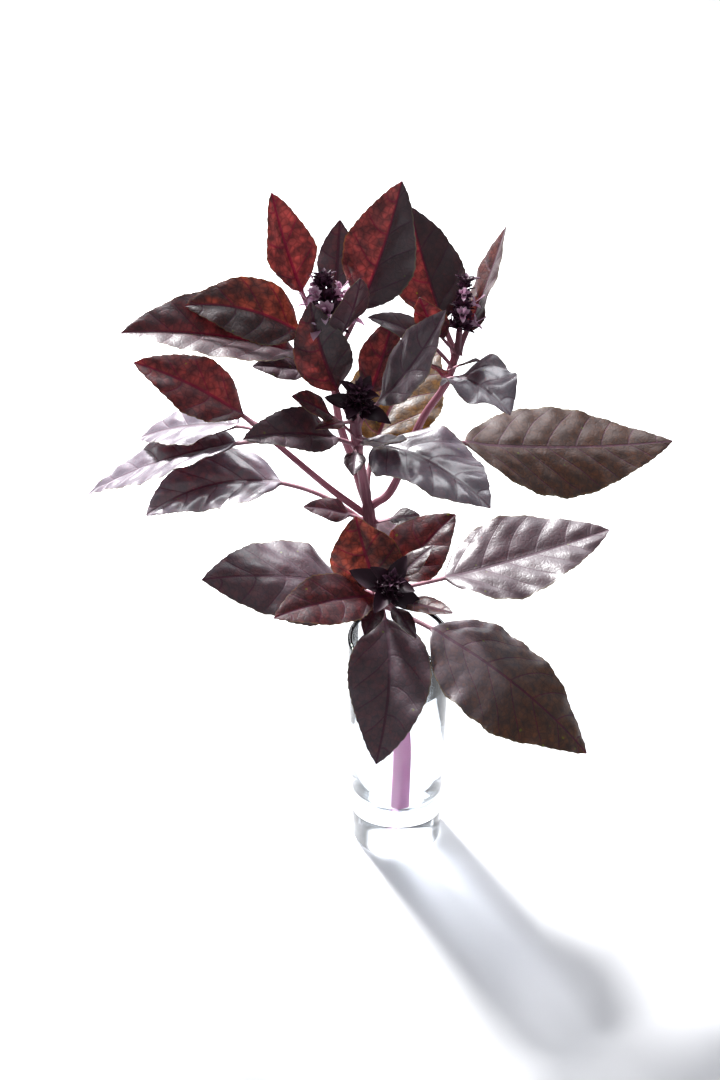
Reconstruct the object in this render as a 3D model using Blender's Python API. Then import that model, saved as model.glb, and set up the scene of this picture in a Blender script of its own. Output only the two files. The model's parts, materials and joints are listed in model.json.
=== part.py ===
"""A flowering sprig of purple basil standing in a small heavy-based glass of water.

The glass stands on the origin with +Z up, and the sprig's front side looks along -Y. Lengths here are
millimetres and angles degrees; build_mesh turns them into Blender's metres.
"""

from math import cos, hypot, pi, radians, sin
from typing import NamedTuple

import bpy
from mathutils import Matrix, Vector

MM = 0.001

# Glass
GLASS_HEIGHT = 106.0
FOOT_RADIUS = 18.5
RIM_RADIUS = 20.0
WALL = 2.2
BASE_THICKNESS = 22.0
WELL_CORNER = 8.0  # radius of the rounded corner between the well's floor and its wall
FOOT_BEVEL = 1.2
WATER_DEPTH = 62.0
GLASS_SIDES = 40
ARC_STEPS = 4  # straight runs in each rounded corner

# Sprig
CLEARANCE = 0.3  # between any two pieces that touch on the real plant
NODE_ABOVE_RIM = 20.0  # the lowest pair of leaves, above the glass
LOWER_INTERNODE = 41.0
STEM_RADIUS = 2.6
CUT_LEAN = 0.15  # how far the cut end's lowest edge lies below its middle, beside the stem's radius
STEM_FLAT = 0.92  # a basil stem is square: its faces are this much nearer to its axis than its edges
STEM_SIDES = 8
STEM_RING_SPACING = 12.0
STEM_TAPER = 0.55  # the main stem's top radius beside STEM_RADIUS
BLADE_THICKNESS = 0.8
PETIOLE_WIDTH = 2.2
PETIOLE_THICKNESS = 1.6
BLADE_FOLD = 0.22  # how far each half of a blade rises from its midrib, beside its width
MARGIN_CURL = 0.10  # how far the margins bend down again
TIP_WIDTH = 0.9
EDGE_THINNING = 0.12  # how much of a blade's half thickness its edges lose, beside its thickness
BLADE_START = 0.25  # share of a blade over which the petiole's thickness and roll pass into it
BLADE_ROWS = 7
SMALL_BLADE = 30.0  # a blade shorter than this has SMALL_BLADE_ROWS
SMALL_BLADE_ROWS = 5
HEAD_SIDES = 10
HEAD_RINGS = 11
HEAD_ENDS = 0.3  # a flower head's end radius beside its widest
WHORL_SWELL = 0.12  # how far a whorl stands out beside the head's radius


class Course(NamedTuple):
    """A stem's curve: its points, and which of them are the corners that it was drawn through.

    A station is a place along it: 0 is its start, each whole number the next corner, and 3.5 lies
    half way from corner 3 to corner 4. The main stem's leaf nodes are its corners 3 and 4.
    """

    points: list
    corners: list


class Stem(NamedTuple):
    """A stem that starts on another one and passes through points measured from that start."""

    name: str
    parent: str
    at: float  # station along the parent
    points: tuple
    start_radius: float
    end_radius: float


class Leaf(NamedTuple):
    """A leaf and its petiole, which leave a stem at a station. Heading 0 is +X and 90 is +Y, and roll
    turns the blade about its midrib.

    From the stem to the tip, droop bends the midrib down and sweep bends it towards a greater heading.
    """

    name: str
    stem: str
    at: float
    heading: float
    rise: float
    roll: float
    droop: float
    sweep: float
    petiole: float
    length: float
    width: float


class Head(NamedTuple):
    """A flower head, which ends a stem."""

    name: str
    stem: str
    length: float
    radius: float
    whorls: int


BRANCHES = (
    Stem("front_shoot", "main_stem", 3.062, ((0, -9, 5), (2, -20, 15), (3, -24, 21)), 1.6, 1.2),
    Stem("left_top_branch", "main_stem", 3.995, ((-6, 6, 20), (-11, 7, 38), (-14, 12, 70)), 1.6, 1.1),
    Stem("left_branch", "main_stem", 3.926, ((-15, 0, 14), (-30, 5, 26), (-41, 12, 33)), 1.4, 1.0),
    Stem(
        "right_branch",
        "main_stem",
        4.019,
        ((9, 3, 8), (19, 8, 34), (27, 11, 47), (31, 13, 60), (32, 15, 68)),
        1.6,
        1.1,
    ),
)

LEAVES = (
    Leaf("low_left_leaf", "main_stem", 3.006, -163, 19, -20, 30, 0, 9, 60, 37),
    Leaf("low_front_leaf", "main_stem", 2.949, -94, -38, 0, 35, -40, 6, 56, 31),
    Leaf("low_right_front_leaf", "main_stem", 2.817, -27, -25, 8, 38, 0, 20, 76, 44),
    Leaf("low_right_back_leaf", "main_stem", 3.062, 13, 9, 12, -10, 0, 24, 66, 38),
    Leaf("low_back_leaf", "main_stem", 3.229, 80, -12, 0, 30, 0, 10, 42, 26),
    Leaf("shoot_back_leaf", "front_shoot", 1.436, 146, 72, -60, -10, 0, 3, 30, 27),
    Leaf("shoot_left_leaf", "front_shoot", 2, -147, 13, -20, 25, 0, 3, 43, 22),
    Leaf("shoot_far_leaf", "front_shoot", 1.319, 29, 40, 20, 20, 0, 7, 33, 24),
    Leaf("shoot_right_leaf", "front_shoot", 2, -37, 14, 0, 0, 0, 7, 21, 10),
    Leaf("shoot_upper_right_leaf", "front_shoot", 1.902, 33, 33, 0, 20, 0, 8, 16, 9),
    Leaf("shoot_low_right_leaf", "front_shoot", 1.747, -64, 0, 0, 20, 0, 4, 18, 7),
    Leaf("shoot_low_left_leaf", "front_shoot", 1.864, -108, -2, 0, 20, 0, 3, 16, 8),
    Leaf("node_left_leaf", "main_stem", 3.876, -172, 20, -20, 20, 0, 5, 18, 10),
    Leaf("node_right_leaf", "main_stem", 3.858, -18, 23, 10, 10, 0, 6, 12, 8),
    Leaf("left_petiole_leaf", "main_stem", 3.812, -176, 5, -10, 60, 50, 34, 52, 30),
    Leaf("left_far_leaf", "left_branch", 2.454, 164, -29, 0, 25, 0, 12, 72, 32),
    Leaf("left_back_leaf", "left_branch", 2.864, 148, -25, -10, 25, 0, 7, 52, 26),
    Leaf("left_red_leaf", "left_branch", 2.864, 175, 29, -30, 25, 0, 3, 44, 23),
    Leaf("top_left_tall_leaf", "left_top_branch", 2.742, 134, 62, 0, -25, 0, 20, 36, 20),
    Leaf("top_left_back_leaf", "left_top_branch", 2.816, 84, 48, 0, -20, 0, 18, 25, 14),
    Leaf("top_left_orange_leaf", "left_top_branch", 2.65, 184, 25, -30, 60, 0, 12, 43, 25),
    Leaf("top_left_dark_leaf", "left_top_branch", 2.613, -169, 17, -15, 30, 0, 12, 63, 32),
    Leaf("top_red_leaf", "left_top_branch", 2.65, 31, 67, 30, -20, 0, 18, 48, 27),
    Leaf("top_grey_leaf", "left_top_branch", 2.834, -52, 66, 0, -25, 0, 10, 27, 16),
    Leaf("left_small_leaf", "left_top_branch", 2.484, -162, 20, -20, 20, 0, 9, 20, 12),
    Leaf("right_tall_leaf", "right_branch", 3.939, 118, 51, 0, -18, 0, 10, 42, 27),
    Leaf("right_tall_front_leaf", "right_branch", 4.008, -165, 62, 60, -20, 0, 6, 20, 12),
    Leaf("right_far_leaf", "right_branch", 3.95, 53, 54, -40, -20, 0, 4, 39, 19),
    Leaf("right_cross_leaf", "right_branch", 3.569, -172, 36, -20, 40, 0, 9, 27, 12),
    Leaf("right_curled_leaf", "right_branch", 3.242, -57, 7, 0, 50, 0, 3, 33, 26),
    Leaf("right_big_leaf", "right_branch", 1.749, 16, -12, 20, -15, 0, 19, 85, 40),
    Leaf("right_small_left_leaf", "right_branch", 3.133, -120, 50, 0, 15, 0, 3, 12, 7),
    Leaf("right_small_right_leaf", "right_branch", 3.514, -52, 36, 0, 10, 0, 3, 12, 6),
    Leaf("centre_grey_leaf", "main_stem", 5.265, -2, 58, 20, -20, 0, 9, 44, 24),
    Leaf("centre_back_leaf", "main_stem", 5.064, 56, 57, 0, -20, 0, 12, 28, 17),
    Leaf("centre_left_leaf", "main_stem", 5.158, 144, 68, -52, -25, 0, 11, 34, 20),
    Leaf("centre_dark_leaf", "main_stem", 4.818, -149, 22, -25, 30, 0, 6, 40, 18),
    Leaf("centre_small_leaf", "main_stem", 4.957, -157, 43, -20, 20, 0, 9, 19, 12),
    Leaf("centre_bract_leaf", "main_stem", 5.398, -140, 14, 0, 10, 0, 3, 13, 7),
    Leaf("centre_white_leaf", "main_stem", 4.848, -44, 3, 0, 50, 0, 8, 54, 34),
    Leaf("centre_olive_leaf", "main_stem", 4.233, 62, 24, 10, 25, -35, 16, 48, 36),
    Leaf("centre_pale_leaf", "main_stem", 4.969, -58, 30, 0, -20, 0, 4, 30, 12),
    Leaf("centre_low_leaf", "main_stem", 4.848, -95, -5, 0, 10, 0, 3, 12, 8),
)

HEADS = (
    Head("front_flower_head", "front_shoot", 14, 6.0, 3),
    Head("centre_flower_head", "main_stem", 15, 5.5, 3),
    Head("left_flower_head", "left_top_branch", 24, 6, 4),
    Head("right_flower_head", "right_branch", 20, 5.5, 4),
)


def clear_scene():
    for obj in list(bpy.data.objects):
        bpy.data.objects.remove(obj, do_unlink=True)


def material(name, colour, roughness, transmission=0.0):
    """A Principled material of this colour."""
    made = bpy.data.materials.new(name)
    made.use_nodes = True
    shader = made.node_tree.nodes["Principled BSDF"]
    shader.inputs["Base Color"].default_value = (*colour, 1.0)
    shader.inputs["Roughness"].default_value = roughness
    shader.inputs["Metallic"].default_value = 0.0
    shader.inputs["Transmission Weight"].default_value = transmission
    return made


def build_mesh(name, points, faces, coat):
    """An object from points in millimetres."""
    mesh = bpy.data.meshes.new(name)
    mesh.from_pydata([Vector(p) * MM for p in points], [], faces)
    mesh.materials.append(coat)
    mesh.shade_smooth()
    mesh.set_sharp_from_angle(angle=radians(50))
    made = bpy.data.objects.new(name, mesh)
    bpy.context.scene.collection.objects.link(made)
    return made


def turned(name, profile, sides, coat):
    """A solid of revolution about Z from (radius, height) points that begin and end on the axis."""
    bottom, *rings, top = profile
    points = [(0, 0, bottom[1])]
    for radius, height in rings:
        for i in range(sides):
            turn = 2 * pi * i / sides
            points.append((radius * cos(turn), radius * sin(turn), height))
    points.append((0, 0, top[1]))
    last = len(points) - 1
    faces = []
    for i in range(sides):
        j = (i + 1) % sides
        faces.append((0, 1 + j, 1 + i))
        for k in range(len(rings) - 1):
            low, high = 1 + k * sides, 1 + (k + 1) * sides
            faces.append((low + i, low + j, high + j, high + i))
        faces.append((last - sides + i, last - sides + j, last))
    return build_mesh(name, points, faces, coat)


def arc(centre, radius, start, end):
    """(radius, height) points of an arc between two angles."""
    turns = [radians(start + (end - start) * i / ARC_STEPS) for i in range(ARC_STEPS + 1)]
    return [(centre[0] + radius * cos(t), centre[1] + radius * sin(t)) for t in turns]


def outer_radius(height):
    return FOOT_RADIUS + (RIM_RADIUS - FOOT_RADIUS) * height / GLASS_HEIGHT


def well_radius(height):
    return outer_radius(height) - WALL


def well_profile(gap, top):
    """The well's floor, rounded corner and wall up to a height, drawn in by a gap."""
    corner = WELL_CORNER - gap
    centre = (well_radius(BASE_THICKNESS + WELL_CORNER) - WELL_CORNER, BASE_THICKNESS + WELL_CORNER)
    return [(0, BASE_THICKNESS + gap), *arc(centre, corner, -90, 0), (well_radius(top) - gap, top)]


def build_glass(coat):
    rim = WALL / 2
    foot = (outer_radius(0) - FOOT_BEVEL, FOOT_BEVEL)
    outside = [(0, 0), *arc(foot, FOOT_BEVEL, -90, 0)]
    lip = arc((RIM_RADIUS - rim, GLASS_HEIGHT - rim), rim, 0, 180)
    inside = well_profile(0, GLASS_HEIGHT - rim)[:-1]
    return turned("glass", [*outside, *lip, *reversed(inside)], GLASS_SIDES, coat)


def build_water(coat, stem_path, stem_radius):
    """The water, with a hole of its own for the stem that stands in it."""
    level = BASE_THICKNESS + WATER_DEPTH
    water = turned("water", [*well_profile(CLEARANCE, level), (0, level)], GLASS_SIDES, coat)
    below = [stem_path[0] - Vector((0, 0, 2 * WELL_CORNER)), *stem_path]
    cutter = tube("stem_room", below, lambda share: stem_radius + CLEARANCE, coat)
    cutter.hide_render = True
    cutter.display_type = "WIRE"
    cut = water.modifiers.new("stem_room", "BOOLEAN")
    cut.operation = "DIFFERENCE"
    cut.object = cutter
    return water


def smooth_course(corners, spacing):
    """A Catmull-Rom curve through the corners."""
    ends = [2 * corners[0] - corners[1], *corners, 2 * corners[-1] - corners[-2]]
    path, marks = [], []
    for a, b, c, d in zip(ends, ends[1:], ends[2:], ends[3:]):
        steps = max(1, round((c - b).length / spacing))
        marks.append(len(path))
        for i in range(steps):
            t = i / steps
            bend = (2 * a - 5 * b + 4 * c - d) * t**2 + (3 * b - a - 3 * c + d) * t**3
            path.append((2 * b + (c - a) * t + bend) / 2)
    return Course([*path, corners[-1]], [*marks, len(path)])


def index_of(course, station):
    """How many of a course's points lie before a station, with the fraction of the next run."""
    corner = min(int(station), len(course.corners) - 2)
    before, after = course.corners[corner : corner + 2]
    return before + (station - corner) * (after - before)


def point_on(course, station):
    """The place and direction at a station."""
    index = index_of(course, station)
    run = min(int(index), len(course.points) - 2)
    a, b = course.points[run : run + 2]
    return a.lerp(b, index - run), (b - a).normalized()


def skin(rings, name, coat):
    """A closed body over rings of points, each ring in the same order."""
    sides = len(rings[0])
    points = [p for ring in rings for p in ring]
    first, last = sum(rings[0], Vector()) / sides, sum(rings[-1], Vector()) / sides
    points += [first, last]
    faces = []
    for k in range(len(rings) - 1):
        for i in range(sides):
            j = (i + 1) % sides
            low, high = k * sides, (k + 1) * sides
            faces.append((low + i, low + j, high + j, high + i))
    base, tip, top = len(points) - 2, len(points) - 1, (len(rings) - 1) * sides
    for i in range(sides):
        j = (i + 1) % sides
        faces.append((base, j, i))
        faces.append((top + i, top + j, tip))
    return build_mesh(name, points, faces, coat)


def across(direction):
    """Two directions square to this one, the first of them level."""
    side = Vector((0, 1, 0)).cross(direction).normalized()
    return side, direction.cross(side)


def tube(name, path, radius_at, coat):
    """A square-edged stem along a path, whose radius depends on the share of its points passed."""
    rings = []
    for k, place in enumerate(path):
        before, after = path[max(k - 1, 0)], path[min(k + 1, len(path) - 1)]
        u, v = across((after - before).normalized())
        radius = radius_at(k / (len(path) - 1))
        ring = []
        for i in range(STEM_SIDES):
            turn = 2 * pi * i / STEM_SIDES
            reach = radius * (1 if i % 2 else STEM_FLAT)
            ring.append(place + reach * (u * cos(turn) + v * sin(turn)))
        rings.append(ring)
    return skin(rings, name, coat)


def main_stem_corners():
    """From the cut end on the well's floor, out over the rim and up to the centre flower head."""
    floor_room = well_radius(BASE_THICKNESS) - WELL_CORNER - STEM_RADIUS - CLEARANCE
    foot = Vector((1, -floor_room, BASE_THICKNESS + CLEARANCE + CUT_LEAN * STEM_RADIUS))
    rim = Vector((-6.5, 0, GLASS_HEIGHT + 5))
    node = Vector((-8, 0, GLASS_HEIGHT + NODE_ABOVE_RIM))
    upper_node = node + Vector((-4, 0, LOWER_INTERNODE))
    inside = foot.lerp(rim, 0.5) + Vector((3.5, 0, 0))
    top = [upper_node + Vector(step) for step in ((-4.5, -5, 38), (-4, -10, 52))]
    return [foot, inside, rim, node, upper_node, *top]


def start_clear(place, along, direction, radius, reach):
    """Where a piece leaving a stem in some direction begins, so that its end face clears the stem."""
    outward = direction - along * direction.dot(along)
    lean = outward.length
    return place + direction * ((radius + CLEARANCE + reach * abs(direction.dot(along))) / lean)


def leaf_row(centre, side, normal, half_width, thickness):
    """One cross-section of a leaf: its upper edge from left to right, then its lower edge back."""
    upper, lower = [], []
    for k in (-1, -0.5, 0, 0.5, 1):
        lift = half_width * (BLADE_FOLD * abs(k) - MARGIN_CURL * k**2)
        middle = centre + side * (half_width * k) + normal * lift
        half = normal * thickness * (0.5 - EDGE_THINNING * abs(k))
        upper.append(middle + half)
        lower.append(middle - half)
    return [*upper, *reversed(lower)]


def blade_outline(share):
    """The half width of a blade beside its greatest half width, from its base to its tip."""
    return sin(pi * share**0.75) ** 0.85


def build_leaf(leaf, place, along, stem_radius, coat):
    """The petiole and blade as one thin body along a midrib that bends down by the leaf's droop."""
    total = leaf.petiole + leaf.length

    def direction(share):
        pitch = radians(leaf.rise + leaf.droop * (0.5 - share))
        heading = radians(leaf.heading + leaf.sweep * (share - 0.5))
        return Vector((cos(pitch) * cos(heading), cos(pitch) * sin(heading), sin(pitch)))

    rows = SMALL_BLADE_ROWS if leaf.length < SMALL_BLADE else BLADE_ROWS
    shares = [0, leaf.petiole / total * 0.6]
    shares += [(leaf.petiole + leaf.length * i / rows) / total for i in range(rows + 1)]
    reach = hypot(PETIOLE_WIDTH, PETIOLE_THICKNESS) / 2
    centre = start_clear(place, along, direction(0), stem_radius, reach)
    rings = []
    before = 0
    for share in shares:
        centre = centre + direction((share + before) / 2) * (total * (share - before))
        before = share
        blade = max(0, (share * total - leaf.petiole) / leaf.length)
        narrow = PETIOLE_WIDTH if blade < 0.5 else TIP_WIDTH
        half_width = max(narrow, leaf.width * blade_outline(min(blade, 1))) / 2
        merged = min(1, blade / BLADE_START)
        thickness = PETIOLE_THICKNESS + (BLADE_THICKNESS - PETIOLE_THICKNESS) * merged
        forward = direction(share)
        level_side = Vector((0, 0, 1)).cross(forward).normalized()
        side = Matrix.Rotation(radians(leaf.roll) * merged, 3, forward) @ level_side
        rings.append(leaf_row(centre, side, forward.cross(side), half_width, thickness))
    return leaf_skin(rings, leaf.name, coat)


def leaf_skin(rings, name, coat):
    """A closed body over a leaf's cross-sections, its ends closed from upper to lower edge."""
    sides = len(rings[0])
    points = [p for ring in rings for p in ring]
    faces = []
    for k in range(len(rings) - 1):
        for i in range(sides):
            j = (i + 1) % sides
            low, high = k * sides, (k + 1) * sides
            faces.append((low + j, low + i, high + i, high + j))
    top = (len(rings) - 1) * sides
    for i in range(sides // 2 - 1):
        faces.append((i, i + 1, sides - 2 - i, sides - 1 - i))
        faces.append((top + sides - 1 - i, top + sides - 2 - i, top + i + 1, top + i))
    return build_mesh(name, points, faces, coat)


def build_head(head, place, along, coat):
    """A spike of crowded whorls, widest near its base."""
    u, v = across(along)
    rings = []
    for k in range(HEAD_RINGS):
        share = k / (HEAD_RINGS - 1)
        swell = HEAD_ENDS + (1 - HEAD_ENDS) * sin(pi * (0.05 + 0.87 * share) ** 0.8)
        whorl = 1 + WHORL_SWELL * cos(2 * pi * head.whorls * share + pi)
        centre = place + along * (CLEARANCE + head.length * share)
        ring = []
        for i in range(HEAD_SIDES):
            turn = 2 * pi * (i + 0.5 * (k % 2)) / HEAD_SIDES
            ring.append(centre + head.radius * swell * whorl * (u * cos(turn) + v * sin(turn)))
        rings.append(ring)
    return skin(rings, head.name, coat)


def tapered(radii, share):
    start, end = radii
    return start + (end - start) * share


def radius_at(course, radii, station):
    return tapered(radii, index_of(course, station) / (len(course.points) - 1))


def stem_courses():
    """Each stem's course, and its radius at both ends, worked out from the main stem outwards."""
    courses = {"main_stem": smooth_course(main_stem_corners(), STEM_RING_SPACING)}
    radii = {"main_stem": (STEM_RADIUS, STEM_TAPER * STEM_RADIUS)}
    for branch in BRANCHES:
        parent = courses[branch.parent]
        place, along = point_on(parent, branch.at)
        steps = [place + Vector(step) for step in branch.points]
        leaving = (steps[0] - place).normalized()
        parent_radius = radius_at(parent, radii[branch.parent], branch.at)
        begin = start_clear(place, along, leaving, parent_radius, branch.start_radius)
        courses[branch.name] = smooth_course([begin, *steps], STEM_RING_SPACING)
        radii[branch.name] = (branch.start_radius, branch.end_radius)
    return courses, radii


def main():
    clear_scene()
    glass_coat = material("clear_glass", (0.95, 0.97, 0.97), 0.02, 1.0)
    water_coat = material("water", (0.97, 0.99, 1.0), 0.0, 1.0)
    stem_coat = material("stem_purple", (0.42, 0.16, 0.24), 0.45)
    leaf_coat = material("leaf_purple", (0.12, 0.035, 0.05), 0.45)
    head_coat = material("flower_head_purple", (0.05, 0.02, 0.05), 0.6)

    courses, radii = stem_courses()
    for name, course in courses.items():
        tube(name, course.points, lambda share, ends=radii[name]: tapered(ends, share), stem_coat)
    for leaf in LEAVES:
        course = courses[leaf.stem]
        place, along = point_on(course, leaf.at)
        stem_radius = radius_at(course, radii[leaf.stem], leaf.at)
        build_leaf(leaf, place, along, stem_radius, leaf_coat)
    for head in HEADS:
        course = courses[head.stem]
        place, along = point_on(course, len(course.corners) - 1)
        build_head(head, place, along, head_coat)
    build_glass(glass_coat)
    build_water(water_coat, courses["main_stem"].points, STEM_RADIUS)


if __name__ == "__main__":
    main()
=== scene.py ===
"""Looks for a flowering sprig of purple basil that stands in a small heavy-based glass of water.

It builds fine leaves, stems, flower heads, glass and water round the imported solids. Lengths in the tables
and functions are millimetres and angles degrees; Body.make turns them into metres. The sliders in the
sidebar hold metres.
"""

import json
from math import ceil, cos, hypot, pi, radians, sin
from typing import NamedTuple

import bpy
import numpy as np
from bpy.props import FloatProperty, FloatVectorProperty, IntProperty, PointerProperty
from mathutils import Euler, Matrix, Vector

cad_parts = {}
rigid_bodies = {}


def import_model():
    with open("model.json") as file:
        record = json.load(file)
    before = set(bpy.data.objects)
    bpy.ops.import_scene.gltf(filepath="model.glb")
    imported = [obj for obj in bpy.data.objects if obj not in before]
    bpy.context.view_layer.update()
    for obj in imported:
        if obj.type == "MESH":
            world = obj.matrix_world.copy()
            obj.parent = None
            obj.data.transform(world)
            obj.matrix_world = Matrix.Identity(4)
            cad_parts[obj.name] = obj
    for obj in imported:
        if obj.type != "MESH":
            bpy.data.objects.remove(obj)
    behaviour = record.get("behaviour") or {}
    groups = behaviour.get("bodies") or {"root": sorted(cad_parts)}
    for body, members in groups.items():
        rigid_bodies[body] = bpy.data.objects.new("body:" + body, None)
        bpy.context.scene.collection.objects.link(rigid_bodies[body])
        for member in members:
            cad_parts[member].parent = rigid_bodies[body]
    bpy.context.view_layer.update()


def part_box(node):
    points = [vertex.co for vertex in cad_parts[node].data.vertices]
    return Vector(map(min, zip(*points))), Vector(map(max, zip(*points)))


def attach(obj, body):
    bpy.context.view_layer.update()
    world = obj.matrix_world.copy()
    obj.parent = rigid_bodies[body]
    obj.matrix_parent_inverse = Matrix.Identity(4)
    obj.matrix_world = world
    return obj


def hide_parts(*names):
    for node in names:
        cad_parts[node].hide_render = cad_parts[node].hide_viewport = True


bl_info = {
    "name": "Purple Basil Sprig",
    "version": (1, 0, 0),
    "blender": (4, 5, 0),
    "location": "3D View > Sidebar > Basil",
    "description": "Builds a purple basil sprig in a glass of water round its packed solids",
    "category": "Object",
}

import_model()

MM = 0.001
FARTHEST_OFF = 0.014  # between a piece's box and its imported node's: a branch's root reaches into its parent

# Stems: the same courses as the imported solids
GLASS_HEIGHT = 106.0
NODE_ABOVE_RIM = 20.0
LOWER_INTERNODE = 41.0
STEM_RADIUS = 2.6
STEM_TAPER = 0.55
CLEARANCE = 0.3
FINE_STEP = 1.2  # between the rings of a stem
STEM_SIDES = 20
ROOTED = 1.0  # how far a branch or petiole runs into the stem that bears it

# Leaves
MARGIN_CURL = 0.10
ROW_STEP = 0.8
HALF_COLUMNS = 12
BLADE_THICKNESS = 0.36
PETIOLE_WIDTH = 2.2
PETIOLE_THICKNESS = 1.6
TOOTH_PITCH = 3.2
TOOTH_HEIGHT = 0.45
VEIN_SPACING = 11.0

# Flower heads
PETAL_THICKNESS = 0.22
BELL_WALL = 0.16
WHORL = 6  # calyces in a whorl
TOP_BRACTS = 14
TOP_TURN = 2.4  # radians from one top bract to the next

# Glass and floor
WATER_IN_WALL = 0.12  # how far the water reaches into the glass wall, so that no air shows between them
FLOOR_HALF = 6000.0
FLOOR_DROP = 0.3  # below the foot

# Light
BOX_FLATNESS = 1.7  # how much wider than high the soft box is


class Stem(NamedTuple):
    """A stem that starts on another one and passes through points measured from that start."""

    name: str
    parent: str
    at: float  # station: 0 is the parent's start, each whole number its next corner
    points: tuple
    start_radius: float
    end_radius: float


class Leaf(NamedTuple):
    """A leaf and its petiole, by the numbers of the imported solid, and the look that it has."""

    name: str
    stem: str
    at: float
    heading: float
    rise: float
    roll: float
    droop: float
    sweep: float
    petiole: float
    length: float
    width: float
    look: str
    fold: float = 0.22  # how far the halves rise from the midrib, as a slope
    wave: float = 1.0  # how wavy the margin is
    shaded_half: float = 0.0  # painted shade: 1 paints the left half as if no light came through it, -1 the right half
    bloom: float = 0.0  # painted sheen: how much paler its upper side is painted near the petiole, where the blade faces the light


class Look(NamedTuple):
    """How a leaf's colour differs from the common one: each share runs from 0 to 1."""

    red: float  # how much light comes through it
    olive: float  # how far that light is green
    pale: float  # painted sheen: how pale its upper side is painted; it also deepens the quilting and the gloss coat


class Head(NamedTuple):
    """A flower head, which ends a stem."""

    name: str
    stem: str
    length: float
    radius: float
    whorls: int
    flowers: int  # open flowers in each whorl
    bract: float  # length of the bracts
    size: float = 1.0  # of the calyces and flowers, against the common one


BRANCHES = (
    Stem("front_shoot", "main_stem", 3.062, ((0, -9, 5), (2, -20, 15), (3, -24, 21)), 1.6, 1.2),
    Stem("left_top_branch", "main_stem", 3.995, ((-6, 6, 20), (-11, 7, 38), (-14, 12, 70)), 1.6, 1.1),
    Stem("left_branch", "main_stem", 3.926, ((-15, 0, 14), (-30, 5, 26), (-41, 12, 33)), 1.4, 1.0),
    Stem(
        "right_branch",
        "main_stem",
        4.019,
        ((9, 3, 8), (19, 8, 34), (27, 11, 47), (31, 13, 60), (32, 15, 68)),
        1.6,
        1.1,
    ),
)

# The pale share is painted sheen: the white and grey leaves are painted paler for the sheen that they show.
LOOKS = {
    "dark": Look(0.15, 0.0, 0.1),
    "wine": Look(0.45, 0.0, 0.0),
    "red": Look(0.8, 0.05, 0.0),
    "orange": Look(1.0, 0.2, 0.0),
    "olive": Look(1.0, 0.9, 0.0),
    "brown": Look(0.4, 0.6, 0.0),
    "grey": Look(0.25, 0.0, 0.22),
    "white": Look(0.3, 0.0, 1.0),
}

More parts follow.
